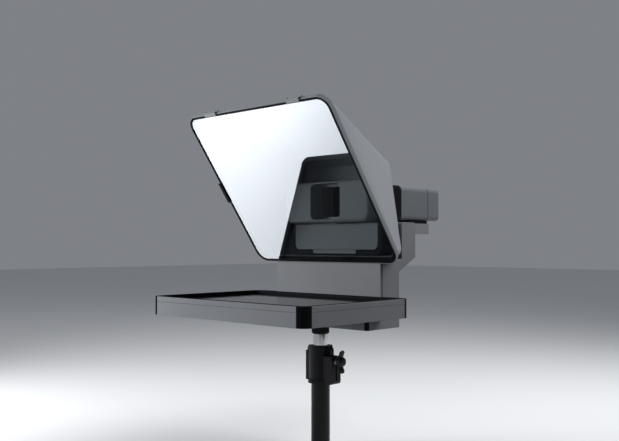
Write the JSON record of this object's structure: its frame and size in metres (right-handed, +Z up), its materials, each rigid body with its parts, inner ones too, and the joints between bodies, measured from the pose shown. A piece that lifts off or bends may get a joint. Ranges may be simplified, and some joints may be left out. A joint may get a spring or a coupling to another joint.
{
  "type": "teleprompter",
  "caption": "Desktop teleprompter head with a part-silvered mirror, tapered hood, flat display tray and webcam on a rail, on the top section of a light stand.",
  "frame": {"origin": "centre of the lower end of the stand tube", "axes": "+Z up along the stand, +Y from the reader towards the camera, +X to the right as the reader's side is faced from in front"},
  "size_m": [0.22, 0.3375, 0.3526],
  "materials": {
    "grey_shell": "fine satin moulded",
    "grey_bezel": "fine satin moulded",
    "grey_hood": "fine matte moulded",
    "hood_inner": "matte, low sheen",
    "light_trim": "satin",
    "black_frame": "satin black",
    "black_corner": "gloss black",
    "mirror_glass": "part-silvered",
    "screen_glass": "polished black",
    "lcd": "polished",
    "board": "solder mask",
    "sheet_steel": "zinc plated",
    "screw_steel": "zinc plated",
    "brass": "turned",
    "seal_rubber": "matte",
    "guide_plastic": "moulded",
    "camera_grey": "bead-blasted, anodised",
    "camera_black": "satin black",
    "lens_glass": "coated",
    "stand_black": "black powder coat",
    "cast_black": "black enamel over casting",
    "chrome": "bright",
    "steel_thread": "bright zinc",
    "knob_black": "moulded"
  },
  "bodies": {
    "stand": {"stand_tube": "stand_black", "stand_collar": "cast_black", "collar_bush": "guide_plastic", "collar_rivets": "screw_steel"},
    "clamp": {"clamp_screw": "steel_thread", "wing_knob": "knob_black"},
    "mast": {"mast_tube": "chrome", "mast_plug": "guide_plastic", "mast_cap": "cast_black", "mounting_stud": "steel_thread"},
    "head": {"base_cover": "grey_shell", "base_corner_strips": "black_corner", "base_screws": "screw_steel", "thread_insert": "brass", "neck_housing": "grey_shell", "neck_front_cover": "grey_shell", "neck_screws": "screw_steel", "hood_screws": "screw_steel", "neck_spine": "sheet_steel", "control_board": "board", "usb_socket": "sheet_steel", "display_lower_shell": "grey_shell", "display_bezel": "grey_bezel", "corner_guards": "black_corner", "screen_glass": "screen_glass", "lcd_panel": "lcd", "display_backplate": "sheet_steel", "display_board": "board", "hood_front_ring": "grey_bezel", "mirror_frame": "black_frame", "beam_splitter_glass": "mirror_glass", "pane_gasket": "seal_rubber", "hood_shell": "grey_hood", "hood_rear_panel": "hood_inner", "backplate": "hood_inner", "latch_springs": "screw_steel", "lens_housing": "hood_inner", "window_ring": "light_trim", "light_shroud": "seal_rubber", "rail_guide": "guide_plastic"},
    "latch": {"latch_tab": "hood_inner"},
    "door": {"lower_door": "hood_inner"},
    "top_clip_l": {"top_clip_left": "light_trim"},
    "top_clip_r": {"top_clip_right": "light_trim"},
    "side_clip": {"side_clip": "black_frame"},
    "camera": {"camera_rail": "grey_shell", "camera_pad": "seal_rubber", "camera_front": "camera_black", "camera_body": "camera_grey", "camera_rear_cap": "camera_grey", "camera_socket": "sheet_steel", "lens_barrel": "camera_black", "front_lens": "lens_glass", "rear_lens": "lens_glass", "sensor_board": "board", "camera_boss": "brass"},
    "camera_screw": {"camera_screw": "steel_thread"},
    "rail_lock": {"rail_lock_screw": "steel_thread", "rail_lock_knob": "knob_black"}
  },
  "joints": [
    {"name": "mast_height", "type": "slide", "parent": "stand", "child": "mast", "axis": [0, 0, 1], "range_m": [-0.012, 0.04]},
    {"name": "head_pan", "type": "hinge", "parent": "mast", "child": "head", "pos_m": [0, 0, 0.127], "axis": [0, 0, 1], "continuous": true},
    {"name": "clamp_turn", "type": "hinge", "parent": "stand", "child": "clamp", "pos_m": [0.027, 0, 0.0905], "axis": [1, 0, 0], "continuous": true},
    {"name": "camera_slide", "type": "slide", "parent": "head", "child": "camera", "axis": [0, 1, 0], "range_m": [-0.008, 0.012]},
    {"name": "camera_screw_turn", "type": "hinge", "parent": "camera", "child": "camera_screw", "pos_m": [0, 0.145, 0.22], "axis": [0, 0, 1], "continuous": true},
    {"name": "rail_lock_turn", "type": "hinge", "parent": "head", "child": "rail_lock", "pos_m": [-0.08, 0.057, 0.2316], "axis": [1, 0, 0], "continuous": true},
    {"name": "latch_press", "type": "slide", "parent": "head", "child": "latch", "axis": [0, 0, -1], "range_m": [0, 0.0012], "stiffness_N_per_m": 300, "deforming": ["latch_springs"]},
    {"name": "door_open", "type": "hinge", "parent": "head", "child": "door", "pos_m": [0, 0.024, 0.2352], "axis": [-1, 0, 0], "range_deg": [0, 50]},
    {"name": "top_clip_left_flip", "type": "hinge", "parent": "head", "child": "top_clip_l", "pos_m": [0, -0.10175, 0.35105], "axis": [-1, 0, 0], "range_deg": [0, 70]},
    {"name": "top_clip_right_flip", "type": "hinge", "parent": "head", "child": "top_clip_r", "pos_m": [0, -0.10175, 0.35105], "axis": [-1, 0, 0], "range_deg": [0, 70]},
    {"name": "side_clip_flip", "type": "hinge", "parent": "head", "child": "side_clip", "pos_m": [-0.1025, -0.04586, 0.27299], "axis": [0, 0.5821, -0.8131], "range_deg": [0, 70]}
  ]
}
